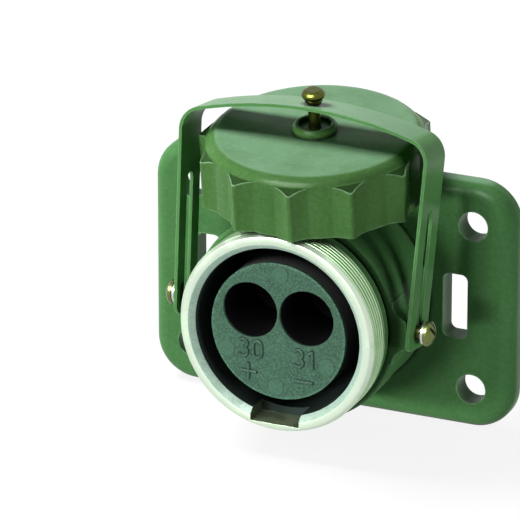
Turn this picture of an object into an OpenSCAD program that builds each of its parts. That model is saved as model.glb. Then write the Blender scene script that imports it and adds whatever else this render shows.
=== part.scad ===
// Two-pole vehicle power socket: cast flange housing, threaded nose, moulded insert with two contacts,
// and a screw cap that hangs from a slotted bail.
// Millimetres. Origin in the middle of the flange's rear face. X right, -Y front, Z up.

/* [Flange] */
// Flange width
flange_w = 114.3; // [104:0.1:130]
// Flange height
flange_h = 76.2; // [72:0.1:90]
// Flange thickness
flange_t = 7; // [5:0.1:10]
// Radius of the flange's corners
corner_r = 12.7; // [10:0.1:18]
// Rounding of the flange's front edge
edge_r = 4.5; // [2:0.1:4.9]
// Mounting holes, spacing across
hole_dx = 88.9; // [80:0.1:96]
// Mounting holes, spacing up
hole_dz = 50.8; // [44:0.1:56]
// Mounting hole diameter
hole_d = 9; // [6:0.1:11]
// Window width
window_w = 7.6; // [5:0.1:8.5]
// Window height
window_h = 19.8; // [12:0.1:24]
// Window corner radius
window_r = 2; // [1:0.1:2.4]

/* [Barrel] */
// Barrel radius behind the collar
barrel_r = 31.3; // [28:0.1:35]
// Barrel wall round the insert's seat
barrel_wall = 2.8; // [2:0.1:4]
// Collar above the barrel
collar_step = 0.5; // [0.2:0.1:1.5]
// Length of the painted neck behind the thread
neck_len = 4.6; // [3:0.1:8]
// Flange front to the nose's front face
nose_len = 41.1; // [36:0.1:48]
// Thread crest below the barrel
thread_step = 0.9; // [0.4:0.1:1.5]
// Painted neck below the thread crest
neck_step = 0.2; // [0.1:0.1:1]
// Length of the groove between neck and collar
groove_w = 2; // [1:0.1:2.8]
// Depth of that groove below the neck
groove_d = 1.3; // [0.5:0.1:1.5]
// Length of the bare threaded ring
bare_len = 9.5; // [8:0.1:12]
// Length of the lead-in at the front of the thread
thread_lead = 2; // [1:0.1:3]
// Fall of the lead-in
thread_fall = 0.9; // [0.4:0.1:1.2]
// Width of the chamfer inside the mouth
chamfer_w = 1.45; // [0.8:0.05:1.8]
// Depth of the chamfer inside the mouth
chamfer_len = 1.8; // [1:0.1:3]
// Shelf that the insert's seal presses on
shelf_w = 2.85; // [2:0.05:4]
// Wall of the ring's spigot inside the barrel
spigot_wall = 1.85; // [1.2:0.05:2.1]
// Length of the spigot
spigot_len = 14; // [8:0.5:16]
// Keyway width
key_w = 15.2; // [10:0.1:18]
// Keyway depth below the bore
key_depth = 2.25; // [1.4:0.05:2.6]
// Ring left behind the keyway
key_back = 1.1; // [0.6:0.1:3]

/* [Ears] */
// Ear's outer face beyond the cap's ridges
ear_room = 0.4; // [0.3:0.1:3]
// Ear height
ear_h = 9.2; // [8:0.1:12]
// Ear depth along the axis
ear_depth = 8.6; // [7:0.1:10]
// Fillet between ear and collar
ear_fillet = 5; // [3:0.1:7]
// Rounding of the ear's outer corners
ear_round = 1.2; // [0.5:0.1:2]

/* [Insert] */
// Gap round the insert for the plug's sleeve
plug_gap = 4.72; // [4.2:0.01:6]
// Insert face behind the nose's front
insert_back = 2.65; // [1:0.05:5]
// Pin well radius
well_r = 8.46; // [7.5:0.01:8.6]
// Web between the pin wells
well_web = 0.64; // [0.4:0.01:2]
// Pin wells above the axis
well_z = 5.28; // [3:0.01:7]
// Pin well depth
well_depth = 22; // [16:0.5:24]
// Gap round the insert's rear flange
seat_gap = 0.2; // [0.1:0.05:0.4]
// Thickness of the insert's rear flange
seat_t = 7; // [4:0.1:8]
// Flange rear face to the insert's rear flange
seat_z = 4; // [3.2:0.1:5]
// How far the insert's hub stands behind the flange
hub_back = 2; // [1:0.1:4]
// Thickness of the seal in front of the insert's flange
seal_t = 1; // [0.6:0.1:2]
// Retaining ring thickness
snap_t = 1.5; // [1:0.1:1.8]
// Retaining ring's reach over the insert
snap_w = 3; // [2:0.1:4.5]
// Depth of the retaining ring's groove beyond the seat
snap_bite = 1.1; // [0.6:0.1:1.4]
// Opening of the split retaining ring
snap_gap = 12; // [6:0.5:16]

/* [Contacts] */
// Contact sleeve radius
sleeve_r = 5.1; // [4.5:0.05:5.2]
// Bore of the contact sleeve
sleeve_bore_r = 3.9; // [3:0.05:4.1]
// Depth of the sleeve's bore
sleeve_bore_len = 14; // [10:0.5:15]
// Spring band thickness
band_t = 0.5; // [0.3:0.05:0.6]
// Spring band width
band_w = 3; // [2:0.1:4]
// Slit width
slit_w = 0.8; // [0.5:0.05:1.2]
// Slit length
slit_len = 12; // [8:0.5:13]
// Collar of the contact above its sleeve
stop_step = 1.4; // [1.1:0.05:1.8]
// Collar length of the contact
stop_len = 5; // [3:0.1:5.5]
// Radius of the crimp barrel
crimp_r = 4.8; // [4.4:0.05:5]
// Length of the crimp barrel
crimp_len = 17; // [12:0.5:22]
// Bore of the crimp barrel
crimp_bore_r = 3.6; // [3:0.05:3.8]
// Depth of the crimp bore
crimp_bore_len = 14; // [8:0.5:15]
// Thickness of the contact clip
clip_t = 1; // [0.6:0.1:1.2]
// Bite of the contact clip into its groove
clip_bite = 0.8; // [0.5:0.05:1]
// Opening of the contact clip
clip_gap = 3; // [2:0.1:4]

/* [Bail] */
// Strip width
strip_w = 14; // [10:0.1:16]
// Strip thickness
strip_t = 1; // [0.8:0.05:1.5]
// Gap between ear and bail arm
arm_gap = 0.95; // [0.35:0.05:1.2]
// Outward splay of each arm in degrees
splay = 1.9; // [0:0.1:2.5]
// Arch radius of the crossbar, at the middle of the strip
arch_r = 124; // [100:1:200]
// Corner radius, at the middle of the strip
bend_r = 6.7; // [4:0.1:9]
// Arm end below the pivot
foot_len = 5; // [4.2:0.1:7]
// Rounding of the arm's end
foot_r = 3; // [1:0.1:4]
// Slot width
slot_w = 4.2; // [4:0.05:5]
// Slot length between end centres
slot_run = 34.5; // [24:0.5:38]
// Lean of the open bail towards the flange in degrees
bail_lean = 9; // [5:0.5:11]

/* [Pivots] */
// Pivot screw shank radius
shank_r = 1.5; // [1.3:0.05:1.6]
// Depth of the screw in the ear
shank_in = 6; // [4:0.1:6.4]
// Length of the bush between ear and washer
bush_len = 3.5; // [3.2:0.1:4.5]
// Washer radius
washer_r = 3.3; // [2.8:0.1:4]
// Washer thickness
washer_t = 0.8; // [0.5:0.05:1.2]
// Screw head radius
head_r = 3.65; // [3:0.05:4.2]
// Screw head height
head_h = 2.6; // [2:0.1:3.4]
// Edge height of the domed head
head_edge = 1; // [0.6:0.1:1.6]
// Driver slot width
drive_w = 1; // [0.6:0.1:1.4]
// Driver slot depth
drive_d = 1.1; // [0.6:0.1:1.6]

/* [Cap] */
// Number of grip ridges
ridges = 12; // [8:1:16]
// Ridges above the cap's round wall
ridge_out = 2.6; // [1.6:0.1:3.2]
// Cap wall between the ridges
cap_wall = 1.2; // [1:0.1:3]
// Radius of each ridge's round crest
lobe_r = 1.2; // [0.8:0.1:3]
// How far the hollows between the ridges run into the wall
hollow_d = 0.5; // [0.3:0.05:0.8]
// Ridge crests end this far below the flat top
ridge_drop = 4.1; // [3.5:0.1:8]
// Slope of the ridges' tops in degrees
ridge_slope = 33; // [15:1:40]
// Cap height from rim to flat top
cap_h = 18.4; // [17:0.1:22]
// Rounding between wall and top
dome_r = 4; // [3:0.1:5]
// Thickness of the cap's top
top_t = 2.8; // [2:0.1:3.6]
// Clearance between the cap's bore and the thread
thread_gap = 0.4; // [0.3:0.05:0.6]
// Gasket width
gasket_w = 6.3; // [4:0.1:9]
// Gasket thickness
gasket_t = 2; // [1:0.1:3]
// Boss radius
boss_r = 6.4; // [5.6:0.1:8]
// Boss height
boss_h = 2.4; // [1.5:0.1:3.5]
// Chamfer of the boss's edge
boss_ch = 0.8; // [0.3:0.1:1]
// Recess radius in the boss
recess_r = 4.9; // [3.5:0.1:5.2]
// Recess depth in the boss
recess_d = 1.4; // [0.8:0.1:2]
// Free length of pin between boss and bail
pin_gap = 5.15; // [3.6:0.05:7]
// Lean of the resting cap away from the flange in degrees
cap_lean = 7; // [5:0.5:9]
// First ridge from the right-hand side in degrees
ridge_turn = 10; // [0:1:30]

/* [Cap pin] */
// Pin radius
pin_r = 1.75; // [1.5:0.05:2]
// Pin head radius
pin_head_r = 3.5; // [2.8:0.05:4]
// Pin head height
pin_head_h = 2.8; // [2:0.1:3.5]
// Collar radius under the head
pin_collar_r = 2.6; // [2.4:0.05:3]
// Collar height
pin_collar_h = 0.8; // [0.6:0.05:1.6]
// Washer radius inside the cap
pin_washer_r = 4.4; // [3.6:0.1:5.5]
// Washer thickness inside the cap
pin_washer_t = 1; // [0.6:0.05:1.4]
// Radius of the closed end of the pin
pin_end_r = 2.7; // [2.4:0.05:3.2]
// Height of the closed end
pin_end_h = 1.2; // [0.8:0.1:2]

/* [Fits] */
// Gap between fixed pieces
fit_gap = 0.05; // [0.03:0.01:0.1]
// Radial running clearance
run_gap = 0.06; // [0.03:0.01:0.1]
// Clearance between pieces that move past each other
clear = 0.3; // [0.25:0.05:0.5]
// Resting cap above the thread
rest_gap = 0.4; // [0.3:0.05:0.8]

/* [Hidden] */
$fn = 96;
paint = [0.23, 0.42, 0.21];
bare = [0.84, 0.89, 0.82];
moulding = [0.18, 0.31, 0.23];
rubber = [0.08, 0.08, 0.08];
silver = [0.85, 0.85, 0.84];
brass = [0.42, 0.42, 0.20];
steel = [0.62, 0.62, 0.60];

seat_bore_r = barrel_r - barrel_wall;
bore_r = seat_bore_r - shelf_w;
spigot_r = bore_r + spigot_wall;
collar_r = barrel_r + collar_step;
thread_r = barrel_r - thread_step;
neck_r = thread_r - neck_step;
groove_r = neck_r - groove_d;
face_r = thread_r - thread_fall;
chamfer_r = bore_r + chamfer_w;
key_floor = bore_r + key_depth;
key_len = bare_len - key_back;
cap_bore_r = thread_r + thread_gap;
wall_r = cap_bore_r + cap_wall;
grip_r = wall_r + ridge_out;
ridge_h = cap_h - ridge_drop;
gasket_in_r = cap_bore_r - gasket_w;
ear_x = grip_r + ear_room;
insert_r = bore_r - plug_gap;
seat_r = seat_bore_r - seat_gap;
snap_in_r = seat_bore_r - snap_w;
well_x = well_r + well_web / 2;
stop_r = sleeve_r + stop_step;

z_front = flange_t + nose_len;
z_bare = z_front - bare_len;
z_collar = z_bare - neck_len;
z_ear = z_collar - ear_depth;
z_pivot = z_collar - ear_depth / 2;
z_spigot = z_bare - spigot_len;
z_face = z_front - insert_back;
z_step = z_face - well_depth;
z_seat_top = seat_z + seat_t;
z_shelf = z_seat_top + seal_t;
collar_ch = 0.6;
window_x = ear_x + 0.4 + window_w / 2;

// Contact stations along the axis, from the sleeve's tip to the end of the crimp barrel.
z_stop = seat_z + 2;
z_tip = z_step - 1.5;
z_stop_back = z_stop - stop_len;
z_clip = z_stop_back - 0.1 - clip_t;
z_hub = min(-hub_back, z_clip - 0.8);
z_crimp = z_stop_back - crimp_len;
sleeve_hole_r = sleeve_r + band_t + clear;
stop_hole_r = stop_r + clear;
clip_out_r = stop_hole_r + clip_bite;

// Bail: the middle of the strip, the corner's centre and where the bends begin.
arm_in = ear_x + arm_gap;
arm_mid = arm_in + strip_t / 2;
cap_hang = cap_h + boss_h + pin_gap + strip_t / 2;
rim_y = -(z_front - thread_lead);
bail_reach = (thread_r + rest_gap + cap_hang / cos(cap_lean) - (rim_y + z_pivot) * tan(cap_lean))
    / (cos(bail_lean) - sin(bail_lean) * tan(cap_lean));
arch_y = bail_reach - arch_r;
dir_x = sin(splay);
dir_y = cos(splay);
q_x = arm_mid - bend_r * dir_y;
q_y = bend_r * dir_x - arch_y;
q_d = q_x * dir_x + q_y * dir_y;
run_l = -q_d + sqrt(q_d * q_d - q_x * q_x - q_y * q_y + (arch_r - bend_r) * (arch_r - bend_r));
bend_x = q_x + run_l * dir_x;
bend_y = q_y + arch_y + run_l * dir_y;
arch_a = atan2(bend_y - arch_y, bend_x);
slot_lo = -0.3;
bend_n = 10;
arch_n = 36;
slot_hi = slot_lo + slot_run;

// Place of the cap's pin on the bail, and of the cap's rim.
pin_y = -z_pivot + bail_reach * sin(bail_lean);
pin_z = bail_reach * cos(bail_lean);
ceiling = cap_h - top_t;
// Each hollow touches the two crests beside it and runs a little below the wall between them.
lobe_c = grip_r - lobe_r;
lobe_x = lobe_c * cos(180 / ridges);
hollow_r = wall_r - hollow_d;
scallop_r = (lobe_r * lobe_r - lobe_c * lobe_c - hollow_r * hollow_r + 2 * lobe_x * hollow_r)
    / (2 * (hollow_r - lobe_x - lobe_r));
scallop_c = hollow_r + scallop_r;
strip_top = cap_hang + strip_t / 2;
collar_w = strip_top + pin_collar_r * tan(bail_lean + cap_lean) + 0.15;
head_w = collar_w + pin_collar_h;
washer_w = ceiling - clear - pin_washer_t;
end_w = washer_w - pin_end_h;
bush_r = slot_w / 2 - 0.1;
bush_x = ear_x + 0.1;
washer_x = bush_x + bush_len + 0.1;
head_x = washer_x + washer_t + fit_gap;

// Front frame: x right, y up, z forward from the flange's rear face.
module front() {
    rotate([90, 0, 0]) children();
}

// Bail frame: x right, y along the arms, z out of the bail's front.
module on_bail() {
    translate([0, -z_pivot, 0]) rotate([90 - bail_lean, 0, 0]) children();
}

// Cap frame: z along the cap's axis from its rim.
module on_cap() {
    translate([0, pin_y, pin_z]) rotate([cap_lean, 0, 0]) translate([0, 0, -cap_hang]) children();
}

// Pivot frame on one side: z outward along the pivot axis.
module on_pivot(side) {
    translate([0, -z_pivot, 0]) rotate([0, 90 * side, 0]) children();
}

module tube(r_out, r_in, h) {
    difference() {
        cylinder(r = r_out, h = h);
        translate([0, 0, -1]) cylinder(r = r_in, h = h + 2);
    }
}

module round_rect(w, h, r) {
    square([w - 2 * r, h], center = true);
    square([w, h - 2 * r], center = true);
    for (sx = [-1, 1]) {
        for (sy = [-1, 1]) {
            translate([sx * (w / 2 - r), sy * (h / 2 - r)]) circle(r = r);
        }
    }
}

// Section cut away along the flange's front edge to round it.
module edge_cut() {
    difference() {
        translate([-edge_r, -edge_r]) square([edge_r + 1, edge_r + 1]);
        translate([-edge_r, -edge_r]) circle(r = edge_r);
    }
}

// Flange plate with rounded corners and a rounded front edge.
module flange_plate() {
    cx = flange_w / 2 - corner_r;
    cy = flange_h / 2 - corner_r;
    difference() {
        linear_extrude(height = flange_t) round_rect(flange_w, flange_h, corner_r);
        for (s = [-1, 1]) {
            translate([0, s * flange_h / 2, flange_t]) rotate([90, 0, 90 * s]) translate([0, 0, -cx - 1])
                linear_extrude(height = 2 * cx + 2) edge_cut();
            translate([s * flange_w / 2, 0, flange_t]) rotate([90, 0, 90 - 90 * s]) translate([0, 0, -cy - 1])
                linear_extrude(height = 2 * cy + 2) edge_cut();
        }
        for (i = [0 : 3]) {
            sx = (i == 0 || i == 3) ? 1 : -1;
            sy = (i < 2) ? 1 : -1;
            translate([sx * cx, sy * cy, flange_t]) rotate([0, 0, 90 * i]) rotate_extrude(angle = 90)
                translate([corner_r, 0]) edge_cut();
        }
    }
}

module barrel() {
    rotate_extrude() polygon([
        [0, flange_t / 2],
        [barrel_r, flange_t / 2],
        [barrel_r, z_ear - 1.5],
        [collar_r, z_ear - 1],
        [collar_r, z_collar - collar_ch],
        [collar_r - collar_ch, z_collar],
        [groove_r, z_collar],
        [groove_r, z_collar + groove_w],
        [neck_r, z_collar + groove_w],
        [neck_r, z_bare],
        [0, z_bare]
    ]);
}

// One ear with fillets that run out into the collar.
module ear() {
    mid_y = ear_h / 2 + ear_fillet;
    mid_x = sqrt((collar_r + ear_fillet) * (collar_r + ear_fillet) - mid_y * mid_y);
    translate([0, 0, z_ear]) linear_extrude(height = ear_depth) difference() {
        translate([spigot_r + 1, -mid_y]) square([ear_x - spigot_r - 1, 2 * mid_y]);
        for (s = [-1, 1]) {
            translate([mid_x, s * mid_y]) circle(r = ear_fillet);
            difference() {
                translate([ear_x - ear_round / 2 + 0.5, s * (ear_h / 2 - ear_round / 2 + 0.5)])
                    square([ear_round + 1, ear_round + 1], center = true);
                translate([ear_x - ear_round, s * (ear_h / 2 - ear_round)]) circle(r = ear_round);
            }
        }
    }
}

// Room round the open cap, where its rim crosses the flange's top edge.
module cap_seat() {
    on_cap() translate([0, 0, -clear]) cylinder(r = grip_r + clear, h = cap_h);
}

module housing_body() {
    difference() {
        union() {
            flange_plate();
            barrel();
            ear();
            mirror([1, 0, 0]) ear();
        }
        translate([0, 0, z_shelf - 1]) cylinder(r = bore_r, h = z_front);
        translate([0, 0, z_spigot - fit_gap]) cylinder(r = spigot_r + fit_gap, h = z_front);
        translate([0, 0, -1]) cylinder(r = seat_bore_r, h = z_shelf + 1);
        translate([0, 0, seat_z - snap_t - 2 * fit_gap]) cylinder(r = seat_bore_r + snap_bite, h = snap_t + 2 * fit_gap);
        for (sx = [-1, 1]) {
            for (sy = [-1, 1]) {
                translate([sx * hole_dx / 2, sy * hole_dz / 2, -1]) cylinder(d = hole_d, h = flange_t + 2);
            }
            translate([sx * window_x, 0, -1]) linear_extrude(height = flange_t + 2)
                round_rect(window_w, window_h, window_r);
            translate([sx * (ear_x - shank_in - 0.4), 0, z_pivot]) rotate([0, sx * 90, 0])
                cylinder(r = shank_r + fit_gap, h = shank_in + 2);
        }
    }
}

module housing() {
    color(paint) difference() {
        front() housing_body();
        cap_seat();
    }
}

module thread_ring() {
    color(bare) front() difference() {
        rotate_extrude() polygon([
            [bore_r, z_spigot],
            [spigot_r, z_spigot],
            [spigot_r, z_bare + fit_gap],
            [thread_r, z_bare + fit_gap],
            [thread_r, z_front - thread_lead],
            [face_r, z_front],
            [chamfer_r, z_front],
            [bore_r, z_front - chamfer_len]
        ]);
        translate([-key_w / 2, -key_floor, z_front - key_len]) cube([key_w, key_floor - insert_r + 2, key_len + 1]);
    }
}

module insert() {
    color(moulding) front() difference() {
        union() {
            translate([0, 0, z_hub]) cylinder(r = insert_r, h = z_face - z_hub);
            translate([0, 0, seat_z]) cylinder(r = seat_r, h = seat_t);
        }
        for (s = [-1, 1]) {
            translate([s * well_x, well_z, 0]) {
                translate([0, 0, z_step]) cylinder(r = well_r, h = well_depth + 1);
                translate([0, 0, z_stop - 1]) cylinder(r = sleeve_hole_r, h = z_step - z_stop + 2);
                translate([0, 0, z_hub - 1]) cylinder(r = stop_hole_r, h = z_stop - z_hub + 1);
                translate([0, 0, z_clip - fit_gap]) cylinder(r = clip_out_r + fit_gap, h = clip_t + 2 * fit_gap);
            }
        }
    }
}

module insert_seal() {
    color(rubber) front() translate([0, 0, z_seat_top + fit_gap / 2])
        tube(seat_r, bore_r + 0.2, seal_t - fit_gap);
}

// Split ring that holds the insert from behind.
module retaining_ring() {
    color(steel) front() translate([0, 0, seat_z - snap_t - fit_gap]) difference() {
        tube(seat_bore_r + snap_bite - 0.15, snap_in_r, snap_t);
        translate([-snap_gap / 2, -seat_r - snap_bite - 2, -1]) cube([snap_gap, seat_r, snap_t + 2]);
    }
}

// Contact sleeve with four slits, a stop collar, a crimp barrel and an inspection hole.
module contact() {
    color(silver) difference() {
        union() {
            translate([0, 0, z_stop - 1]) cylinder(r = sleeve_r, h = z_tip - z_stop + 1);
            translate([0, 0, z_stop_back]) cylinder(r = stop_r, h = stop_len - fit_gap);
            translate([0, 0, z_crimp]) cylinder(r = crimp_r, h = crimp_len + 1);
        }
        translate([0, 0, z_tip - sleeve_bore_len]) cylinder(r = sleeve_bore_r, h = sleeve_bore_len + 1);
        translate([0, 0, z_crimp - 1]) cylinder(r = crimp_bore_r, h = crimp_bore_len + 1);
        for (a = [45, 135]) {
            rotate([0, 0, a]) translate([-sleeve_r - 1, -slit_w / 2, z_tip - slit_len])
                cube([2 * sleeve_r + 2, slit_w, slit_len + 1]);
        }
        translate([0, 0, z_crimp + crimp_bore_len - 2]) rotate([-90, 0, 0]) cylinder(r = 1.2, h = crimp_r + 1);
    }
}

// Split spring band round the slit end of a contact.
module band() {
    color(steel) translate([0, 0, z_tip - band_w - 1]) difference() {
        tube(sleeve_r + fit_gap + band_t, sleeve_r + fit_gap, band_w);
        translate([-0.5, 0, -1]) cube([1, sleeve_r + band_t + 1, band_w + 2]);
    }
}

// Split clip that keeps a contact in the insert.
module clip() {
    color(steel) translate([0, 0, z_clip]) difference() {
        tube(clip_out_r - fit_gap, crimp_r + 0.3, clip_t);
        translate([-clip_gap / 2, 0, -1]) cube([clip_gap, clip_out_r + 1, clip_t + 2]);
    }
}

module at_well(side) {
    front() translate([side * well_x, well_z, 0]) children();
}

module contact_left() {
    at_well(-1) contact();
}

module contact_right() {
    at_well(1) contact();
}

module band_left() {
    at_well(-1) band();
}

module band_right() {
    at_well(1) band();
}

module clip_left() {
    at_well(-1) clip();
}

module clip_right() {
    at_well(1) clip();
}

// Slotted screw with a domed head.
module pivot_screw(side) {
    dome = (head_r * head_r + (head_h - head_edge) * (head_h - head_edge)) / (2 * (head_h - head_edge));
    color(brass) on_pivot(side) difference() {
        union() {
            translate([0, 0, ear_x - shank_in]) cylinder(r = shank_r, h = head_x - ear_x + shank_in + 0.5);
            intersection() {
                translate([0, 0, head_x]) cylinder(r = head_r, h = head_h);
                translate([0, 0, head_x + head_h - dome]) sphere(r = dome);
            }
        }
        translate([0, 0, head_x + head_h - drive_d]) rotate([0, 0, 35])
            translate([-head_r - 1, -drive_w / 2, 0]) cube([2 * head_r + 2, drive_w, drive_d + 1]);
    }
}

module pivot_screw_left() {
    pivot_screw(-1);
}

module pivot_screw_right() {
    pivot_screw(1);
}

module pivot_washer(side) {
    color(steel) on_pivot(side) translate([0, 0, washer_x]) tube(washer_r, shank_r + fit_gap, washer_t);
}

module pivot_washer_left() {
    pivot_washer(-1);
}

module pivot_washer_right() {
    pivot_washer(1);
}

module pivot_bush(side) {
    color(brass) on_pivot(side) translate([0, 0, bush_x]) tube(bush_r, shank_r + run_gap, bush_len);
}

module pivot_bush_left() {
    pivot_bush(-1);
}

module pivot_bush_right() {
    pivot_bush(1);
}

// Edge of the strip at a distance off its middle line, from the right foot over the arch to the left foot.
function strip_edge(off) = concat(
    [[arm_mid + off * dir_y - foot_len * dir_x, -foot_len * dir_y - off * dir_x]],
    [for (i = [0 : bend_n]) let (a = -splay + i * (arch_a + splay) / bend_n)
        [bend_x + (bend_r + off) * cos(a), bend_y + (bend_r + off) * sin(a)]],
    [for (i = [1 : arch_n - 1]) let (a = arch_a + i * (180 - 2 * arch_a) / arch_n)
        [(arch_r + off) * cos(a), arch_y + (arch_r + off) * sin(a)]],
    [for (i = [bend_n : -1 : 0]) let (a = -splay + i * (arch_a + splay) / bend_n)
        [-bend_x - (bend_r + off) * cos(a), bend_y + (bend_r + off) * sin(a)]],
    [[-arm_mid - off * dir_y + foot_len * dir_x, -foot_len * dir_y - off * dir_x]]
);

// Cutter for the rounded end and the long slot of the arms, across both arms.
module arm_cuts() {
    across = 2 * (arm_mid + 10);
    rotate([0, 90, 0]) linear_extrude(height = across, center = true) {
        translate([-slot_w / 2, slot_lo]) square([slot_w, slot_run]);
        translate([0, slot_lo]) circle(d = slot_w);
        translate([0, slot_hi]) circle(d = slot_w);
    }
    for (s = [-1, 1]) {
        rotate([0, 90, 0]) linear_extrude(height = across, center = true) difference() {
            translate([s * (strip_w / 2 - foot_r / 2 + 0.5), foot_r / 2 - foot_len - 0.5])
                square([foot_r + 1, foot_r + 1], center = true);
            translate([s * (strip_w / 2 - foot_r), foot_r - foot_len]) circle(r = foot_r);
        }
    }
}

module bail() {
    edge_in = strip_edge(-strip_t / 2);
    color(paint) on_bail() difference() {
        linear_extrude(height = strip_w, center = true)
            polygon(concat(strip_edge(strip_t / 2), [for (i = [len(edge_in) - 1 : -1 : 0]) edge_in[i]]));
        arm_cuts();
        translate([0, bail_reach - strip_t - 1, 0]) rotate([-90, 0, 0])
            cylinder(r = pin_r + 0.45, h = 2 * strip_t + 2);
    }
}

// Rivet pin with a turned head above the bail and a closed end inside the cap.
module cap_pin() {
    color(brass) on_cap() rotate_extrude() polygon([
        [0, end_w],
        [pin_end_r - 0.5, end_w],
        [pin_end_r, end_w + 0.5],
        [pin_end_r, washer_w - fit_gap],
        [pin_r, washer_w - fit_gap],
        [pin_r, head_w + fit_gap],
        [pin_head_r - 1, head_w + fit_gap],
        [pin_head_r - 0.25, head_w + 0.22 * pin_head_h],
        [pin_head_r, head_w + 0.45 * pin_head_h],
        [pin_head_r - 0.15, head_w + 0.65 * pin_head_h],
        [pin_head_r - 0.6, head_w + 0.86 * pin_head_h],
        [pin_head_r - 1.4, head_w + pin_head_h],
        [0, head_w + pin_head_h]
    ]);
}

module pin_collar() {
    color(brass) on_cap() translate([0, 0, collar_w]) tube(pin_collar_r, pin_r + fit_gap, pin_collar_h);
}

module pin_washer() {
    color(steel) on_cap() translate([0, 0, washer_w]) tube(pin_washer_r, pin_r + fit_gap, pin_washer_t);
}

// Grip outline: round crests joined by hollows. The star's edges lie inside both.
module grip_outline() {
    step = 360 / ridges;
    difference() {
        polygon([for (i = [0 : 2 * ridges - 1]) let (a = ridge_turn + i * step / 2, r = (i % 2 == 0) ? lobe_c : scallop_c)
            [r * cos(a), r * sin(a)]]);
        for (i = [0 : ridges - 1]) {
            rotate([0, 0, ridge_turn + (i + 0.5) * step]) translate([scallop_c, 0]) circle(r = scallop_r);
        }
    }
    for (i = [0 : ridges - 1]) {
        rotate([0, 0, ridge_turn + i * step]) translate([lobe_c, 0]) circle(r = lobe_r + 0.02);
    }
}

// Grip ridges with tops that slope from the dome out to the crests.
module grip() {
    run = 1 / tan(ridge_slope);
    intersection() {
        linear_extrude(height = cap_h - 1) grip_outline();
        cylinder(r1 = grip_r + ridge_h * run, r2 = grip_r - ridge_drop * run, h = cap_h);
    }
}

// Boss round the pin, with a chamfered edge.
module boss() {
    rotate_extrude() polygon([
        [0, cap_h - 1],
        [boss_r, cap_h - 1],
        [boss_r, cap_h + boss_h - boss_ch],
        [boss_r - boss_ch, cap_h + boss_h],
        [0, cap_h + boss_h]
    ]);
}

module cap() {
    color(paint) on_cap() difference() {
        union() {
            cylinder(r = wall_r, h = cap_h - dome_r);
            cylinder(r = wall_r - dome_r, h = cap_h);
            translate([0, 0, cap_h - dome_r]) rotate_extrude() translate([wall_r - dome_r, 0]) circle(r = dome_r);
            grip();
            boss();
        }
        translate([0, 0, -1]) cylinder(r = cap_bore_r, h = ceiling + 1);
        translate([0, 0, cap_h + boss_h - recess_d]) cylinder(r = recess_r, h = recess_d + 1);
        translate([0, 0, ceiling - 1]) cylinder(r = pin_r + run_gap, h = cap_h);
    }
}

module cap_gasket() {
    color(rubber) on_cap() translate([0, 0, ceiling - gasket_t - fit_gap])
        tube(cap_bore_r - fit_gap, gasket_in_r, gasket_t);
}

housing();
thread_ring();
insert();
insert_seal();
retaining_ring();
contact_left();
contact_right();
band_left();
band_right();
clip_left();
clip_right();
pivot_screw_left();
pivot_screw_right();
pivot_washer_left();
pivot_washer_right();
pivot_bush_left();
pivot_bush_right();
bail();
cap_pin();
pin_collar();
pin_washer();
cap();
cap_gasket();
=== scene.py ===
"""Looks of the two-pole vehicle power socket: a painted cast housing with a bare threaded nose,
a dark moulded insert, and a ridged screw cap that hangs on a slotted strip bail."""

import math

import bmesh
import bpy
from mathutils import Matrix, Vector


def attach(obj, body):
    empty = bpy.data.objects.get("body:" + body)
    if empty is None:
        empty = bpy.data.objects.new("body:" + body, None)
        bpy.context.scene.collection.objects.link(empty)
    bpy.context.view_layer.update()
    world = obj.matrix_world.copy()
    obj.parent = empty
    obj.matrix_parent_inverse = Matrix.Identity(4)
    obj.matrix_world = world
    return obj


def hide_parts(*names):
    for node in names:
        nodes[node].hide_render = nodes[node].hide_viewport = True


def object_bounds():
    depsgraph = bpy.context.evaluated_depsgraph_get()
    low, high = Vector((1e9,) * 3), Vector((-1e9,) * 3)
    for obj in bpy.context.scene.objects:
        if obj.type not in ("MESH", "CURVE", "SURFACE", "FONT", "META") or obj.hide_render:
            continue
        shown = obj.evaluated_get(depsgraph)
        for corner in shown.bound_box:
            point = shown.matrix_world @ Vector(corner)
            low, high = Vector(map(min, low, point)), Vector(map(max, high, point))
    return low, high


MM = 0.001
UP = (0.0, 0.0, 1.0)

# Places repeated from the part's source, in millimetres. Y points to the back and Z up.
NOSE_FRONT = -48.1
BARE_BACK = -38.65
LEAD_IN = -46.1
SPIGOT_BACK = -24.6
CREST_R = 30.4
FACE_R = 29.5
CHAMFER_R = 27.1
BORE_R = 25.65
CHAMFER_BACK = -46.3
SPIGOT_R = 27.5
KEY_HALF = 7.6
KEY_FLOOR = -27.9
KEY_BACK = -39.7
INSERT_FACE = -45.45
INSERT_R = 20.93
WELL_R = 8.46
WELL_X = 8.78
WELL_Z = 5.28
CAP_RIM = (0.0, -16.872, 34.389)
CAP_LEAN = 7.0
CAP_BORE_R = 30.8
RIDGES = 12
RIDGE_TURN = 10.0
RIDGE_TOP = 14.3
RIDGE_SLOPE = 33.0
GRIP_R = 34.6
CREST_ROUND = 1.2
HOLLOW_R = 31.5
CAP_WALL_R = 32.0

# Fine shapes that are only here, in millimetres.
THREAD_PITCH = 1.4
THREAD_DEPTH = 0.36
GROOVE_HALF = 0.46
STROKE_HALF = 0.44
STROKE_HEIGHT = 0.42
DISC_PLACES = ((0.6, 17.55), (-16.1, -7.8), (15.2, -8.65), (-0.7, -17.5))

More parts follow.
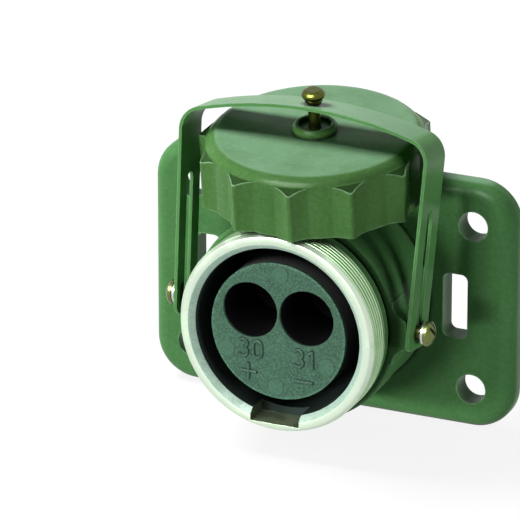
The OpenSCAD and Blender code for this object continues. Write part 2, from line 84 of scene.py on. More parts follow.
# Colours, as linear red, green and blue.
PAINT = (0.057, 0.164, 0.052)
PAINT_SHADE = (0.047, 0.140, 0.043)
# Pale paint for wear and specks, also used as a painted highlight along edges.
PAINT_PALE_WORN_AND_HIGHLIGHT = (0.190, 0.350, 0.180)
# Pale top colour: dust, and a painted sheen on upward faces.
PAINT_DUST_AND_SHEEN = (0.150, 0.285, 0.160)
BAIL_PAINT = (0.070, 0.206, 0.059)
BAIL_SHADE = (0.058, 0.176, 0.049)
CAP_PAINT = (0.051, 0.133, 0.033)
CAP_SHADE = (0.043, 0.116, 0.027)
ALLOY = (0.57, 0.67, 0.545)
ALLOY_DULL = (0.38, 0.50, 0.35)
# Black standing in for the shade deep in the bore.
BORE_SHADE_BLACK = (0.026, 0.038, 0.035)

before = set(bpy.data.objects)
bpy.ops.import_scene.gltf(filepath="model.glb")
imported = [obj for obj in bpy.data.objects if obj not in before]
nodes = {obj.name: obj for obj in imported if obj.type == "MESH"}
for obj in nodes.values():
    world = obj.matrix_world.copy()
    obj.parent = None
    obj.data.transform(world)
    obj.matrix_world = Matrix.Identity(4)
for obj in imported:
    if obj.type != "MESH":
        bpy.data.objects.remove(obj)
cad_box = [list(corner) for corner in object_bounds()]


# Meshes

def add_object(name, bm, material, smooth_deg=35.0):
    """Turns a bmesh in the part's frame into a named object, smooth except at sharp edges."""
    bmesh.ops.recalc_face_normals(bm, faces=bm.faces)
    mesh = bpy.data.meshes.new(name)
    bm.to_mesh(mesh)
    bm.free()
    mesh.shade_smooth()
    mesh.set_sharp_from_angle(angle=math.radians(smooth_deg))
    obj = bpy.data.objects.new(name, mesh)
    bpy.context.scene.collection.objects.link(obj)
    mesh.materials.append(material)
    return obj


def circle(radius, y, sides, centre=(0.0, 0.0)):
    """Points round a centre at one depth. The radius is one number, or one for each point."""
    points = []
    for i in range(sides):
        a = math.tau * i / sides
        r = radius[i] if isinstance(radius, list) else radius
        points.append((centre[0] + r * math.cos(a), y, centre[1] + r * math.sin(a)))
    return points


def loft(bm, loops, close_ends=False, ring=False):
    """Joins closed loops of points, in millimetres, into a skin of quads with open ends, with
    closed ends, or with the last loop joined to the first."""
    rows = [[bm.verts.new(Vector(p) * MM) for p in loop] for loop in loops]
    pairs = list(zip(rows, rows[1:]))
    if ring:
        pairs.append((rows[-1], rows[0]))
    for a, b in pairs:
        for i in range(len(a)):
            j = (i + 1) % len(a)
            bm.faces.new((a[i], a[j], b[j], b[i]))
    if close_ends:
        bm.faces.new(rows[0])
        bm.faces.new(rows[-1])


def stroke(bm, path, height=STROKE_HEIGHT, closed=False):
    """A low raised stroke along a path of (x, z) points on the insert's face."""
    section = [
        (-1.0, -0.3), (-1.0, 0.25), (-0.72, 0.85), (-0.3, 1.0),
        (0.3, 1.0), (0.72, 0.85), (1.0, 0.25), (1.0, -0.3),
    ]
    count = len(path)
    loops = []
    for i, (x, z) in enumerate(path):
        before = path[(i - 1) % count] if closed or i else path[i]
        after = path[(i + 1) % count] if closed or i < count - 1 else path[i]
        run = Vector((after[0] - before[0], after[1] - before[1])).normalized()
        side = Vector((-run.y, run.x)) * STROKE_HALF
        loops.append([(x + side.x * s, INSERT_FACE - h * height, z + side.y * s) for s, h in section])
    loft(bm, loops, close_ends=not closed, ring=closed)


def arc(cx, cz, rx, rz, start_deg, end_deg, steps):
    """Points on an ellipse from one angle to another, turning either way."""
    points = []
    for i in range(steps + 1):
        a = math.radians(start_deg + (end_deg - start_deg) * i / steps)
        points.append((cx + rx * math.cos(a), cz + rz * math.sin(a)))
    return points


def cap_place():
    """From the cap's own frame, with its axis along z from the rim, to the resting cap."""
    return Matrix.Translation(Vector(CAP_RIM) * MM) @ Matrix.Rotation(math.radians(CAP_LEAN), 4, "X")


# Material nodes

class Surface:
    """A small helper that adds nodes to one material's tree."""

    def __init__(self, name, colour, metallic, roughness):
        self.mat = bpy.data.materials.new(name)
        self.mat.use_nodes = True
        self.tree = self.mat.node_tree
        self.shader = self.tree.nodes["Principled BSDF"]
        self.shader.inputs["Base Color"].default_value = (*colour, 1.0)
        self.shader.inputs["Metallic"].default_value = metallic
        self.shader.inputs["Roughness"].default_value = roughness
        self.mat.diffuse_color = (*colour, 1.0)
        self.coords = self.tree.nodes.new("ShaderNodeTexCoord").outputs["Object"]

    def link(self, source, target):
        self.tree.links.new(source, target)

    def put(self, value, target):
        """Links a node's output to a socket, or sets the socket to a plain value."""
        if hasattr(value, "is_linked"):
            self.link(value, target)
        elif isinstance(value, tuple) and len(value) == 3 and target.type == "RGBA":
            target.default_value = (*value, 1.0)
        else:
            target.default_value = value

    def set(self, socket, value):
        self.put(value, self.shader.inputs[socket])

    def noise(self, scale, detail=3.0, rough=0.55, vector=None):
        node = self.tree.nodes.new("ShaderNodeTexNoise")
        node.inputs["Scale"].default_value = scale
        node.inputs["Detail"].default_value = detail
        node.inputs["Roughness"].default_value = rough
        self.link(vector or self.coords, node.inputs["Vector"])
        return node.outputs["Fac"]

    def fit(self, value, low, high, out_low=0.0, out_high=1.0):
        """Maps one range on to another with eased ends, and holds it there."""
        node = self.tree.nodes.new("ShaderNodeMapRange")
        node.interpolation_type = "SMOOTHSTEP"
        self.put(value, node.inputs["Value"])
        node.inputs["From Min"].default_value = low
        node.inputs["From Max"].default_value = high
        node.inputs["To Min"].default_value = out_low
        node.inputs["To Max"].default_value = out_high
        return node.outputs["Result"]

    def math(self, kind, a, b=0.0):
        node = self.tree.nodes.new("ShaderNodeMath")
        node.operation = kind
        self.put(a, node.inputs[0])
        self.put(b, node.inputs[1])
        return node.outputs["Value"]

    def times(self, a, b):
        return self.math("MULTIPLY", a, b)

    def length(self, a, b):
        return self.math("SQRT", self.math("ADD", self.times(a, a), self.times(b, b)))

    def blend(self, factor, a, b):
        node = self.tree.nodes.new("ShaderNodeMix")
        node.data_type = "RGBA"
        colour_a = next(i for i in node.inputs if i.identifier == "A_Color")
        colour_b = next(i for i in node.inputs if i.identifier == "B_Color")
        self.put(factor, node.inputs["Factor"])
        self.put(a, colour_a)
        self.put(b, colour_b)
        return next(o for o in node.outputs if o.identifier == "Result_Color")

    def axes(self):
        node = self.tree.nodes.new("ShaderNodeSeparateXYZ")
        self.link(self.coords, node.inputs["Vector"])
        return node.outputs["X"], node.outputs["Y"], node.outputs["Z"]

    def facing(self):
        """The surface's own direction, in the piece's frame."""
        return self.tree.nodes.new("ShaderNodeTexCoord").outputs["Normal"]

    def vector(self, x, y, z):
        node = self.tree.nodes.new("ShaderNodeCombineXYZ")
        self.put(x, node.inputs["X"])
        self.put(y, node.inputs["Y"])
        self.put(z, node.inputs["Z"])
        return node.outputs["Vector"]

    def vector_math(self, kind, a, b=(0.0, 0.0, 0.0)):
        node = self.tree.nodes.new("ShaderNodeVectorMath")
        node.operation = kind
        self.put(a, node.inputs[0])
        self.put(b, node.inputs[1])
        return node.outputs["Value" if kind in ("DOT_PRODUCT", "LENGTH") else "Vector"]

    def scaled(self, vector, factor):
        node = self.tree.nodes.new("ShaderNodeVectorMath")
        node.operation = "SCALE"
        self.put(vector, node.inputs[0])
        self.put(factor, node.inputs["Scale"])
        return node.outputs["Vector"]

    def rounded(self, radius_mm):
        """The surface's normal, rounded over a small radius at edges."""
        node = self.tree.nodes.new("ShaderNodeBevel")
        node.samples = 6
        node.inputs["Radius"].default_value = radius_mm * MM
        return node.outputs["Normal"]

    def edge_mask(self, rounded_normal):
        """A mask that rises along edges, where the rounded normal turns from the plain one."""
        plain = self.tree.nodes.new("ShaderNodeNewGeometry").outputs["Normal"]
        along = self.vector_math("DOT_PRODUCT", rounded_normal, plain)
        return self.fit(self.math("SUBTRACT", 1.0, along), 0.01, 0.2)

    def bump(self, height, depth_mm, strength=1.0, normal=None):
        node = self.tree.nodes.new("ShaderNodeBump")
        node.inputs["Distance"].default_value = depth_mm * MM
        node.inputs["Strength"].default_value = strength
        self.link(height, node.inputs["Height"])
        if normal is not None:
            self.link(normal, node.inputs["Normal"])
        return node.outputs["Normal"]

    def crevices(self, reach_mm):
        """One in the open, falling to nought where other surfaces are near."""
        node = self.tree.nodes.new("ShaderNodeAmbientOcclusion")
        node.samples = 8
        node.only_local = False
        node.inputs["Distance"].default_value = reach_mm * MM
        return node.outputs["AO"]

    def corners(self, reach_mm):
        """A mask that rises along outer edges, from how near the far side of the solid is."""
        node = self.tree.nodes.new("ShaderNodeAmbientOcclusion")
        node.samples = 8
        node.inside = True
        node.only_local = True
        node.inputs["Distance"].default_value = reach_mm * MM
        return self.math("SUBTRACT", 1.0, node.outputs["AO"])


def toned(colour, factor):
    """A colour made darker or paler by one factor."""
    return tuple(c * factor for c in colour)


def ledge_shade(s):
    """A mask for the sloping tops of the cap's ridges, which are darkened there as painted shade."""
    lean = math.radians(CAP_LEAN)
    axis = (0.0, -math.sin(lean), math.cos(lean))
    from_rim = s.vector_math("SUBTRACT", s.coords, tuple(c * MM for c in CAP_RIM))
    rise = s.vector_math("DOT_PRODUCT", from_rim, axis)
    reach = s.vector_math("LENGTH", s.vector_math("SUBTRACT", from_rim, s.scaled(axis, rise)))
    upward = s.fit(s.vector_math("DOT_PRODUCT", s.facing(), axis), 0.6, 0.75)
    return s.times(upward, s.fit(reach, (CAP_WALL_R - 0.3) * MM, (CAP_WALL_R + 0.1) * MM))


def green_paint(name, body, shade, roughness, grain_mm, round_mm, edge_mm, edge_wear_and_highlight,
                ledges=False, bore_shaded=False):
    """Semi-gloss green enamel: finely grained, pale on outer edges from wear and a painted highlight,
    darkened in creases with painted shade, and paler on top from dust and a painted sheen. It can be
    darkened on the cap's ledges with painted shade, and painted black inside the bore as shade."""
    s = Surface(name, body, 0.0, roughness)
    broad = s.fit(s.noise(48.0, 3.0), 0.32, 0.72)
    speck = s.fit(s.noise(900.0, 3.0, 0.6), 0.35, 0.7)
    scuff = s.fit(s.noise(260.0, 5.0, 0.7), 0.52, 0.75)
    fleck = s.fit(s.noise(1900.0, 2.0, 0.6), 0.66, 0.78)
    colour = s.blend(broad, shade, body)
    colour = s.blend(s.times(speck, 0.08), colour, PAINT_PALE_WORN_AND_HIGHLIGHT)
    # Paler on upward faces: partly dust, partly a painted sheen where the tops catch the light.
    level = s.fit(s.vector_math("DOT_PRODUCT", s.facing(), UP), 0.9, 0.992)
    dust_and_sheen = s.times(level, s.fit(s.noise(75.0, 5.0, 0.62), 0.25, 0.7, 0.6, 1.0))
    colour = s.blend(dust_and_sheen, colour, PAINT_DUST_AND_SHEEN)
    # Paler along outer edges: partly wear, partly a painted highlight where light catches the edges.
    rubbed_and_highlit = s.fit(s.corners(edge_mm), 0.12, 0.45)
    patchy = s.fit(s.noise(420.0, 4.0, 0.65), 0.3, 0.62, 0.35 * edge_wear_and_highlight, edge_wear_and_highlight)
    colour = s.blend(s.times(rubbed_and_highlit, patchy), colour, PAINT_PALE_WORN_AND_HIGHLIGHT)
    colour = s.blend(s.times(fleck, 0.35), colour, PAINT_PALE_WORN_AND_HIGHLIGHT)
    # Painted shade: the ridges' sloping tops are darkened.
    if ledges:
        colour = s.blend(s.times(ledge_shade(s), 0.85), colour, toned(shade, 0.3))
    # Painted shade: darker in creases and where other surfaces are near.
    clear_of_painted_shade = s.fit(s.crevices(reach_mm=2.2), 0.45, 0.9)
    colour = s.blend(clear_of_painted_shade, toned(shade, 0.12), colour)
    # Painted shade: black on the bore's inner wall.
    if bore_shaded:
        x, _, z = s.axes()
        inside = s.fit(s.length(x, z), (BORE_R + 0.35) * MM, (BORE_R + 0.5) * MM, 1.0, 0.0)
        colour = s.blend(inside, colour, BORE_SHADE_BLACK)
    s.set("Base Color", colour)
    uneven = s.math("ADD", scuff, s.times(speck, 0.3))
    s.set("Roughness", s.fit(uneven, 0.0, 1.3, roughness - 0.06, roughness + 0.14))
    s.set("Specular IOR Level", 0.06)
    coarse = s.bump(s.noise(170.0, 2.0), grain_mm * 2.2, 0.3, s.rounded(round_mm))
    s.set("Normal", s.bump(s.noise(1300.0, 3.0, 0.6), grain_mm, 0.55, coarse))
    return s.mat


def turned_metal(name, body, dull, roughness, axis_y=True):
    """Metal left from the lathe: fine lines round the y or z axis, with dull patches."""
    lines_per_metre = 5200.0
    s = Surface(name, body, 1.0, roughness)
    x, y, z = s.axes()
    radius = s.length(x, z) if axis_y else s.length(x, y)
    along = y if axis_y else z
    track = s.vector(s.times(radius, lines_per_metre), s.times(along, lines_per_metre), 0.0)
    lines = s.noise(1.0, 2.0, 0.6, track)
    bands = s.fit(s.noise(0.34, 3.0, 0.7, track), 0.5, 0.7)
    patch = s.fit(s.noise(120.0, 5.0, 0.65), 0.42, 0.72)
    pits = s.fit(s.noise(1500.0, 3.0, 0.7), 0.6, 0.78)
    colour = s.blend(s.times(patch, 0.55), body, dull)
    colour = s.blend(s.times(pits, 0.35), colour, dull)
    s.set("Base Color", s.blend(s.times(bands, 0.7), colour, dull))
    uneven = s.math("ADD", s.times(lines, 0.6), patch)
    s.set("Roughness", s.fit(uneven, 0.1, 1.4, roughness - 0.08, roughness + 0.16))
    pitted = s.bump(pits, 0.03, 0.4, s.rounded(radius_mm=0.18))
    s.set("Normal", s.bump(lines, 0.02, 0.5, pitted))
    return s.mat


def grained_metal(name, body, dull):
    """Alloy with the dull skin of the casting: light comes off it evenly, with a fine grain."""
    s = Surface(name, body, 0.12, 0.6)
    grain = s.noise(1700.0, 3.0, 0.65)
    patch = s.fit(s.noise(150.0, 4.0, 0.6), 0.4, 0.72)
    colour = s.blend(s.fit(grain, 0.45, 0.68, 0.0, 0.6), body, dull)
    s.set("Base Color", s.blend(s.times(patch, 0.4), colour, dull))
    s.set("Roughness", s.fit(patch, 0.0, 1.0, 0.55, 0.75))
    s.set("Normal", s.bump(grain, 0.04, 0.6, s.rounded(radius_mm=0.18)))
    return s.mat


def moulding(name, body, pale, wells):
    """Dark glass-filled moulding with a fine spark grain, paler along edges as a painted highlight and
    darker in corners as painted shade. The insert's own is black on its side and in its wells as
    painted shade, and paler along its rim as a painted highlight."""
    s = Surface(name, body, 0.0, 0.62)
    grain = s.noise(2300.0, 3.0, 0.65)
    broad = s.fit(s.noise(110.0, 4.0), 0.35, 0.7)
    normal = s.rounded(radius_mm=0.25)
    colour = s.blend(s.fit(grain, 0.36, 0.68, 0.0, 0.75), body, pale)
    colour = s.blend(s.times(broad, 0.18), colour, pale)
    # Painted highlight: paler along edges.
    colour = s.blend(s.times(s.edge_mask(normal), 0.3), colour, pale)
    # Painted shade: darker round the raised marks and in corners.
    clear_of_painted_shade = s.fit(s.crevices(reach_mm=0.7), 0.62, 0.97)
    colour = s.blend(clear_of_painted_shade, toned(body, 0.08), colour)
    if wells:
        x, y, z = s.axes()
        radius = s.length(x, z)
        # Painted highlight: paler along the rim of the insert's face.
        rubbed_and_highlit = s.fit(radius, (INSERT_R - 0.93) * MM, (INSERT_R - 0.33) * MM)
        rubbed_and_highlit = s.times(rubbed_and_highlit, s.fit(grain, 0.35, 0.65, 0.0, 0.36))
        colour = s.blend(rubbed_and_highlit, colour, toned(pale, 1.9))
        # Painted shade: black on the insert's side and inside its wells.
        dx = s.math("SUBTRACT", s.math("ABSOLUTE", x), WELL_X * MM)
        dz = s.math("SUBTRACT", z, WELL_Z * MM)
        in_well = s.fit(s.length(dx, dz), (WELL_R - 0.02) * MM, (WELL_R + 0.05) * MM, 1.0, 0.0)
        well_wall = s.times(in_well, s.fit(y, (INSERT_FACE + 0.5) * MM, (INSERT_FACE + 2.2) * MM))
        rim = s.fit(radius, (INSERT_R - 0.63) * MM, (INSERT_R - 0.08) * MM)
        side = s.times(rim, s.fit(y, (INSERT_FACE + 0.4) * MM, (INSERT_FACE + 2.0) * MM))
        black = s.math("MAXIMUM", well_wall, side)
        colour = s.blend(black, colour, (0.0012, 0.0012, 0.0016))
        s.set("Roughness", s.fit(black, 0.0, 1.0, 0.6, 0.9))
    s.set("Base Color", colour)
    s.set("Specular IOR Level", 0.3)
    s.set("Normal", s.bump(grain, 0.045, 0.6, normal))
    return s.mat


def dull_black(name, body, dusty):
    """A matt black standing in for the shade deep in the bore and the wells, with a little dust."""
    s = Surface(name, body, 0.0, 0.8)
    dust = s.fit(s.noise(700.0, 5.0, 0.7), 0.58, 0.8)
    s.set("Base Color", s.blend(s.times(dust, 0.35), body, dusty))
    s.set("Roughness", s.fit(dust, 0.0, 1.0, 0.72, 0.95))
    s.set("Specular IOR Level", 0.05)
    s.set("Normal", s.bump(s.noise(1200.0), 0.03, 0.5))
    return s.mat


def rubber(name, body, bloomed):
    """Black rubber with a grey bloom in patches."""
    s = Surface(name, body, 0.0, 0.7)
    bloom = s.fit(s.noise(180.0, 5.0, 0.65), 0.4, 0.75)
    s.set("Base Color", s.blend(s.times(bloom, 0.5), body, bloomed))
    s.set("Roughness", s.fit(bloom, 0.0, 1.0, 0.55, 0.85))
    s.set("Normal", s.bump(s.noise(1600.0, 2.0), 0.03, 0.5, s.rounded(radius_mm=0.25)))
    return s.mat


housing_paint = green_paint(
    "housing_paint", PAINT, PAINT_SHADE, roughness=0.36, grain_mm=0.05,
    round_mm=0.45, edge_mm=0.7, edge_wear_and_highlight=0.8, bore_shaded=True)
bail_paint = green_paint(
    "bail_paint", BAIL_PAINT, BAIL_SHADE, roughness=0.34, grain_mm=0.03,
    round_mm=0.3, edge_mm=0.35, edge_wear_and_highlight=0.9)
cap_paint = green_paint(
    "cap_paint", CAP_PAINT, CAP_SHADE, roughness=0.29, grain_mm=0.045,
    round_mm=0.5, edge_mm=0.8, edge_wear_and_highlight=0.42, ledges=True)
# The thin lips come out pale nearly all over: a painted highlight along the ridges' tops.
lip_paint = green_paint(
    "lip_paint", CAP_PAINT, CAP_SHADE, roughness=0.29, grain_mm=0.045,
    round_mm=0.2, edge_mm=0.8, edge_wear_and_highlight=0.6)
bare_alloy = turned_metal("bare_alloy", ALLOY, ALLOY_DULL, 0.50)
thread_alloy = turned_metal("thread_alloy", (0.36, 0.54, 0.31), (0.20, 0.32, 0.17), 0.46)
chamfer_alloy = grained_metal("chamfer_alloy", (0.34, 0.48, 0.39), (0.19, 0.29, 0.23))
keyway_metal = turned_metal("keyway_metal", (0.17, 0.21, 0.13), (0.08, 0.10, 0.06), 0.55)
insert_moulding = moulding("dark_moulding", (0.017, 0.053, 0.031), (0.068, 0.164, 0.102), wells=True)
disc_moulding = moulding("smooth_moulding", (0.032, 0.088, 0.053), (0.064, 0.156, 0.097), wells=False)
bore_shade_black = dull_black("bore_shade_black", BORE_SHADE_BLACK, (0.055, 0.066, 0.062))
well_shade_black = dull_black("well_shade_black", (0.003, 0.003, 0.004), (0.010, 0.011, 0.012))
seal_rubber = rubber("seal_rubber", (0.010, 0.010, 0.011), (0.035, 0.036, 0.036))
plated = turned_metal("plated_contact", (0.84, 0.85, 0.83), (0.62, 0.64, 0.60), 0.24)
brass = turned_metal("brass_fittings", (0.150, 0.180, 0.062), (0.075, 0.095, 0.030), 0.36)
pin_brass = turned_metal("pin_brass", (0.092, 0.104, 0.020), (0.042, 0.052, 0.010), 0.34, axis_y=False)
steel = turned_metal("steel_fittings", (0.55, 0.56, 0.55), (0.33, 0.34, 0.33), 0.34)

FINISH = {
    "housing": housing_paint,
    "bail": bail_paint,
    "cap": cap_paint,
    "thread_ring": bare_alloy,
    "insert": insert_moulding,
    "insert_seal": seal_rubber,
    "cap_gasket": seal_rubber,
    "retaining_ring": steel,
    "contact_left": plated,
    "contact_right": plated,
    "band_left": steel,
    "band_right": steel,
    "clip_left": steel,
    "clip_right": steel,
    "pivot_screw_left": brass,
    "pivot_screw_right": brass,
    "pivot_washer_left": steel,
    "pivot_washer_right": steel,
    "pivot_bush_left": brass,
    "pivot_bush_right": brass,
    "cap_pin": pin_brass,
    "pin_collar": pin_brass,
    "pin_washer": steel,
}
for node_name, material in FINISH.items():
    for slot in nodes[node_name].material_slots:
        slot.material = material


# Threaded nose ring

def thread_radius(y, turn):
    """Outer radius of the ring at a depth and a share of a turn round it."""
    start = 0.4
    fade_from = 0.25
    fade_run = 0.5
    along = (-y - start) / THREAD_PITCH - turn
    off = abs(along - math.floor(along) - 0.5) * THREAD_PITCH
    groove = max(0.0, 1.0 - off / GROOVE_HALF)
    groove = groove * groove * (3.0 - 2.0 * groove)
    fade = min(1.0, max(0.0, (BARE_BACK - y - fade_from) / fade_run))
    threaded = CREST_R - THREAD_DEPTH * groove * fade
    cone = CREST_R - (CREST_R - FACE_R) * max(0.0, LEAD_IN - y) / (LEAD_IN - NOSE_FRONT)
    return min(threaded, cone)


def cut_keyway(ring):
    """Cuts the keyway through the ring's lower side."""
    key_top = -20.0
    cut = bmesh.new()
    bmesh.ops.create_cube(cut, size=1.0)
    low = Vector((-KEY_HALF, NOSE_FRONT - 2.0, KEY_FLOOR))
    high = Vector((KEY_HALF, KEY_BACK, key_top))
    for v in cut.verts:
        share = v.co + Vector((0.5, 0.5, 0.5))
        v.co = Vector([a + (b - a) * s for a, b, s in zip(low, high, share)]) * MM
    cutter = add_object("keyway_cutter", cut, bare_alloy)
    keyway = ring.modifiers.new("keyway", "BOOLEAN")
    keyway.operation = "DIFFERENCE"
    keyway.object = cutter
    keyway.solver = "EXACT"
    view = bpy.context.evaluated_depsgraph_get()
    cut_mesh = bpy.data.meshes.new_from_object(ring.evaluated_get(view))
    ring.modifiers.clear()
    ring.data = cut_mesh
    bpy.data.objects.remove(cutter)


def ring_finish(face):
    """Which finish a face of the ring has, from where it lies."""
    lower_side = -22.0
    c = face.center / MM
    radius = math.hypot(c.x, c.z)
    steep = abs(face.normal.y)
    # Painted shade: the bore's inner wall behind the mouth is black.
    if radius < BORE_R + 0.05 and c.y > CHAMFER_BACK:
        return bore_shade_black
    on_front = c.y < CHAMFER_BACK + 0.1 and steep > 0.5
    if on_front and radius < CHAMFER_R + 0.1 and steep < 0.98:
        return chamfer_alloy
    in_key = abs(c.x) < KEY_HALF + 0.01 and c.z < lower_side and c.y < KEY_BACK + 0.01
    if in_key and radius < CREST_R - 1.0 and not on_front:
        return keyway_metal
    if radius > SPIGOT_R + 0.5 and c.y > LEAD_IN + 0.1:
        return thread_alloy
    return bare_alloy


def nose_ring():
    """The bare ring with its thread, lead-in, chamfered mouth and keyway."""
    sides = 288
    steps = 84
    smooth_deg = 40.0
    thread_back = BARE_BACK - 0.2
    thread_run = NOSE_FRONT + 0.35 - BARE_BACK
    back = [(SPIGOT_R, SPIGOT_BACK), (SPIGOT_R, BARE_BACK), (CREST_R - 0.2, BARE_BACK)]
    front = [
        (FACE_R - 0.1, NOSE_FRONT + 0.06), (FACE_R - 0.3, NOSE_FRONT),
        (CHAMFER_R + 0.2, NOSE_FRONT), (CHAMFER_R, NOSE_FRONT + 0.1),
        (BORE_R + 0.1, CHAMFER_BACK - 0.1), (BORE_R, CHAMFER_BACK), (BORE_R, SPIGOT_BACK),
    ]
    loops = [circle(radius, y, sides) for radius, y in back]
    for k in range(steps + 1):
        y = thread_back + thread_run * k / steps
        loops.append(circle([thread_radius(y, i / sides) for i in range(sides)], y, sides))
    loops += [circle(radius, y, sides) for radius, y in front]
    bm = bmesh.new()
    loft(bm, loops, ring=True)
    ring = add_object("nose_ring", bm, bare_alloy, smooth_deg)
    cut_keyway(ring)

    mesh = ring.data
    finishes = [bare_alloy, bore_shade_black, keyway_metal, thread_alloy, chamfer_alloy]
    mesh.materials.clear()
    for finish in finishes:
        mesh.materials.append(finish)
    for face in mesh.polygons:
        face.material_index = finishes.index(ring_finish(face))
    mesh.shade_smooth()
    mesh.set_sharp_from_angle(angle=math.radians(smooth_deg))
    return ring


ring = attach(nose_ring(), "socket")
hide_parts("thread_ring")


# Black sleeves in the two wells, painted shade

def well_shade_sleeves():
    """Thin black sleeves just inside the wells' walls, from near the mouth to the bottom, standing in
    for the shade in the wells.
    """
    sides = 64
    outer = WELL_R - 0.01
    inner = WELL_R - 0.06
    profile = [(outer, 0.9), (inner, 1.0), (inner, 21.9), (outer, 21.95)]
    bm = bmesh.new()
    for side in (-1, 1):
        centre = (side * WELL_X, WELL_Z)
        loops = [circle(radius, INSERT_FACE + depth, sides, centre) for radius, depth in profile]
        loft(bm, loops, ring=True)
    return add_object("well_shade_sleeves", bm, well_shade_black, 30.0)


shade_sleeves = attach(well_shade_sleeves(), "socket")


# Marks on the insert's face

def insert_marks():
    """The numbers and polarity signs, as raised strokes."""
    bm = bmesh.new()

    def three(cx, cz):
        top = arc(cx - 0.1, cz + 1.3, 1.25, 1.25, 150, -80, 16)
        low = arc(cx - 0.1, cz - 1.35, 1.4, 1.35, 80, -150, 16)
        stroke(bm, top + low)

    def nought(cx, cz):
        top = arc(cx, cz + 1.25, 1.3, 1.35, 0, 180, 12)
        low = arc(cx, cz - 1.25, 1.3, 1.35, 180, 360, 12)
        stroke(bm, top + low, closed=True)

    def one(cx, cz):
        stroke(bm, [(cx - 1.5, cz + 1.55), (cx - 0.7, cz + 1.95), (cx, cz + 2.65)])
        stroke(bm, [(cx, cz + 2.75), (cx, cz), (cx, cz - 2.75)])

    three(-10.85, -6.6)
    nought(-6.45, -6.65)
    three(6.5, -7.25)
    one(10.75, -7.25)
    stroke(bm, [(-9.3, -11.2), (-9.3, -13.8), (-9.3, -16.4)])
    stroke(bm, [(-11.9, -13.8), (-9.3, -13.8), (-6.7, -13.8)], STROKE_HEIGHT * 0.97)
    stroke(bm, [(5.5, -14.45), (8.2, -14.45), (10.9, -14.45)])
    return add_object("insert_marks", bm, insert_moulding, 50.0)


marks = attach(insert_marks(), "socket")


def ejector_discs():
    """The smooth round marks that the mould's pins leave in the grained face."""
    sides = 48
    profile = [(2.52, -0.15), (2.52, 0.06), (2.42, 0.11), (2.1, 0.08), (0.4, 0.07)]
    bm = bmesh.new()
    for centre in DISC_PLACES:
        loops = [circle(radius, INSERT_FACE - lift, sides, centre) for radius, lift in profile]
        loft(bm, loops, close_ends=True)
    return add_object("ejector_discs", bm, disc_moulding, 60.0)


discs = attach(ejector_discs(), "socket")


# Lips along the tops of the cap's ridges

def grip_radius(off_deg):
    """Radius of the cap's grip at an angle from a ridge's crest: a round crest between two hollows."""
    half = math.radians(180.0 / RIDGES)
    off = math.radians(abs(off_deg))
    crest_c = GRIP_R - CREST_ROUND
    crest_x = crest_c * math.cos(half)
    hollow_round = CREST_ROUND ** 2 - crest_c ** 2 - HOLLOW_R ** 2 + 2.0 * crest_x * HOLLOW_R
    hollow_round /= 2.0 * (HOLLOW_R - crest_x - CREST_ROUND)
    hollow_c = HOLLOW_R + hollow_round
    share = CREST_ROUND / (CREST_ROUND + hollow_round)
    meet_x = crest_c + (hollow_c * math.cos(half) - crest_c) * share
    meet_y = hollow_c * math.sin(half) * share
    if off < math.atan2(meet_y, meet_x):
        return crest_c * math.cos(off) + math.sqrt(CREST_ROUND ** 2 - (crest_c * math.sin(off)) ** 2)
    to_hollow = half - off
    chord = math.sqrt(hollow_round ** 2 - (hollow_c * math.sin(to_hollow)) ** 2)
    return hollow_c * math.cos(to_hollow) - chord


def grip_lips():
    """A low rounded lip on the outer edge of each ridge's sloping top."""
    steps = 40
    sides = 10
    reach_deg = 8.4
    end_thick = 0.08
    swell = 0.24
    slope = math.tan(math.radians(RIDGE_SLOPE))
    bm = bmesh.new()
    for i in range(RIDGES):
        crest_deg = RIDGE_TURN + 360.0 / RIDGES * i
        loops = []
        for k in range(steps + 1):
            share = k / steps * 2.0 - 1.0
            thick = end_thick + swell * (1.0 - abs(share)) ** 0.6
            radius = grip_radius(share * reach_deg) - thick * 0.85
            rise = RIDGE_TOP + (GRIP_R - radius) * slope - thick * 0.3
            turn = math.radians(crest_deg + share * reach_deg)
            loop = []
            for j in range(sides):
                b = math.tau * j / sides
                r = radius + thick * math.cos(b)
                loop.append((r * math.cos(turn), r * math.sin(turn), rise + thick * math.sin(b)))
            loops.append(loop)
        loft(bm, loops, close_ends=True)
    bmesh.ops.transform(bm, matrix=cap_place(), verts=bm.verts)
    return add_object("grip_lips", bm, lip_paint, 60.0)


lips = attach(grip_lips(), "cap")


# Thread in the cap's mouth

def cap_thread():
    """A low helical ridge on the cap's bore."""
    around = 96
    turns = 4
    run_out = 24.0
    first_rise = 1.9
    ridge_height = 0.25
    last = around * turns
    loops = []
    for i in range(last + 1):
        a = math.tau * i / around
        rise = first_rise + THREAD_PITCH * i / around
        height = ridge_height * min(1.0, i / run_out, (last - i) / run_out)
        section = [
            (0.12, -0.45), (0.0, -0.4), (-height, -0.1),
            (-height, 0.1), (0.0, 0.4), (0.12, 0.45),
        ]
        loop = []
        for out, up in section:
            r = CAP_BORE_R + out
            loop.append((r * math.cos(a), r * math.sin(a), rise + up))
        loops.append(loop)
    bm = bmesh.new()
    loft(bm, loops, close_ends=True)
    bmesh.ops.transform(bm, matrix=cap_place(), verts=bm.verts)
    return add_object("cap_thread", bm, cap_paint, 50.0)


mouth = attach(cap_thread(), "cap")


# Floor, light and camera

def background_rays(tree):
    """One where a ray comes from the camera, a reflection or a clear piece, else nought."""
    path = tree.nodes.new("ShaderNodeLightPath")
    first = tree.nodes.new("ShaderNodeMath")
    first.operation = "MAXIMUM"
    tree.links.new(path.outputs["Is Camera Ray"], first.inputs[0])
    tree.links.new(path.outputs["Is Glossy Ray"], first.inputs[1])
    second = tree.nodes.new("ShaderNodeMath")
    second.operation = "MAXIMUM"
    tree.links.new(first.outputs["Value"], second.inputs[0])
    tree.links.new(path.outputs["Is Transmission Ray"], second.inputs[1])
    return second.outputs["Value"]


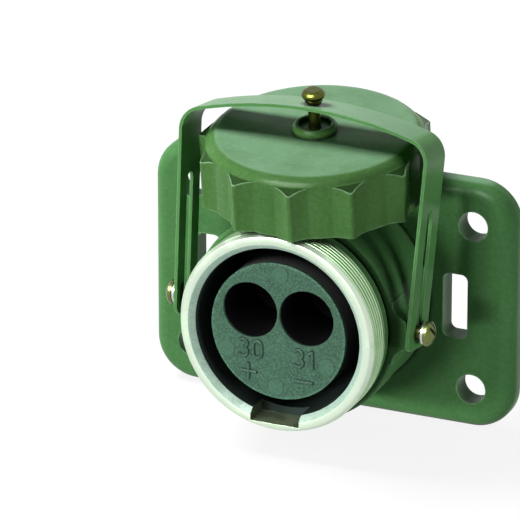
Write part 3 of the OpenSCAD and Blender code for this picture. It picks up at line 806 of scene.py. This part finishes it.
def pale_floor():
    """A wide floor just under the part, white to the eye, that keeps its shadow."""
    grey = (0.12, 0.12, 0.12)
    glow = 0.87
    half_side = 6.0
    gap = 0.0004
    s = Surface("floor_white", grey, 0.0, 0.9)
    s.set("Base Color", s.blend(s.noise(6.0, 3.0), toned(grey, 0.975), toned(grey, 1.025)))
    s.set("Specular IOR Level", 0.1)
    s.shader.inputs["Emission Color"].default_value = (1.0, 1.0, 1.0, 1.0)
    s.set("Emission Strength", s.times(background_rays(s.tree), glow))
    bm = bmesh.new()
    bmesh.ops.create_grid(bm, x_segments=4, y_segments=4, size=half_side)
    for v in bm.verts:
        v.co.z = cad_box[0][2] - gap
    return add_object("floor", bm, s.mat)


pale_floor()


CENTRE = Vector((0.0, -0.02, 0.01))


def soft_light(name, place, size, power, fills=True, in_reflections=False):
    """A soft box aimed at the object that fills it with light, shows in its gloss, or both."""
    data = bpy.data.lights.new(name, "AREA")
    data.shape = "RECTANGLE"
    data.size, data.size_y = size
    data.energy = power
    lamp = bpy.data.objects.new(name, data)
    bpy.context.scene.collection.objects.link(lamp)
    lamp.location = CENTRE + Vector(place)
    lamp.visible_camera = False
    lamp.visible_diffuse = fills
    lamp.visible_glossy = in_reflections
    lamp.rotation_euler = (CENTRE - lamp.location).to_track_quat("-Z", "Y").to_euler()


soft_light("overhead", (-0.52, 0.03, 0.85), (0.45, 0.45), 15.8)
soft_light("left_card", (-0.68, -0.72, -0.01), (0.3, 0.10), 8.8)
soft_light("front_card", (-0.28, -0.95, -0.01), (0.25, 0.10), 6.0)
soft_light("right_card", (0.94, -0.20, 0.0), (0.4, 0.10), 4.4)
soft_light("rear_card", (0.15, 0.95, 0.0), (0.4, 0.10), 5.0)
soft_light("window", (-0.16, -0.66, 0.60), (0.6, 0.36), 23.0, fills=False, in_reflections=True)

scene = bpy.context.scene
scene.view_settings.view_transform = "Standard"

world = bpy.data.worlds.new("studio")
scene.world = world
world.use_nodes = True
studio = world.node_tree
sky = studio.nodes["Background"]
sky.inputs["Color"].default_value = (1.0, 1.0, 1.0, 1.0)
level = studio.nodes.new("ShaderNodeMapRange")
level.inputs["To Min"].default_value = 0.04
level.inputs["To Max"].default_value = 1.0
studio.links.new(background_rays(studio), level.inputs["Value"])
studio.links.new(level.outputs["Result"], sky.inputs["Strength"])

AZIMUTH = math.radians(23.729)
ELEVATION = math.radians(21.809)
TARGET = Vector((-11.61, -32.0, 15.274)) * MM
DISTANCE = 1.656
back = Vector((
    math.sin(AZIMUTH) * math.cos(ELEVATION),
    -math.cos(AZIMUTH) * math.cos(ELEVATION),
    math.sin(ELEVATION),
))
camera_data = bpy.data.cameras.new("camera")
camera_data.sensor_width = 36.0
camera_data.lens = 397.26
camera_data.clip_start = 0.05
camera_data.clip_end = 20.0
camera = bpy.data.objects.new("camera", camera_data)
scene.collection.objects.link(camera)
camera.location = TARGET + back * DISTANCE
camera.rotation_mode = "QUATERNION"
camera.rotation_quaternion = (-back).to_track_quat("-Z", "Y")
scene.camera = camera

bpy.context.view_layer.update()
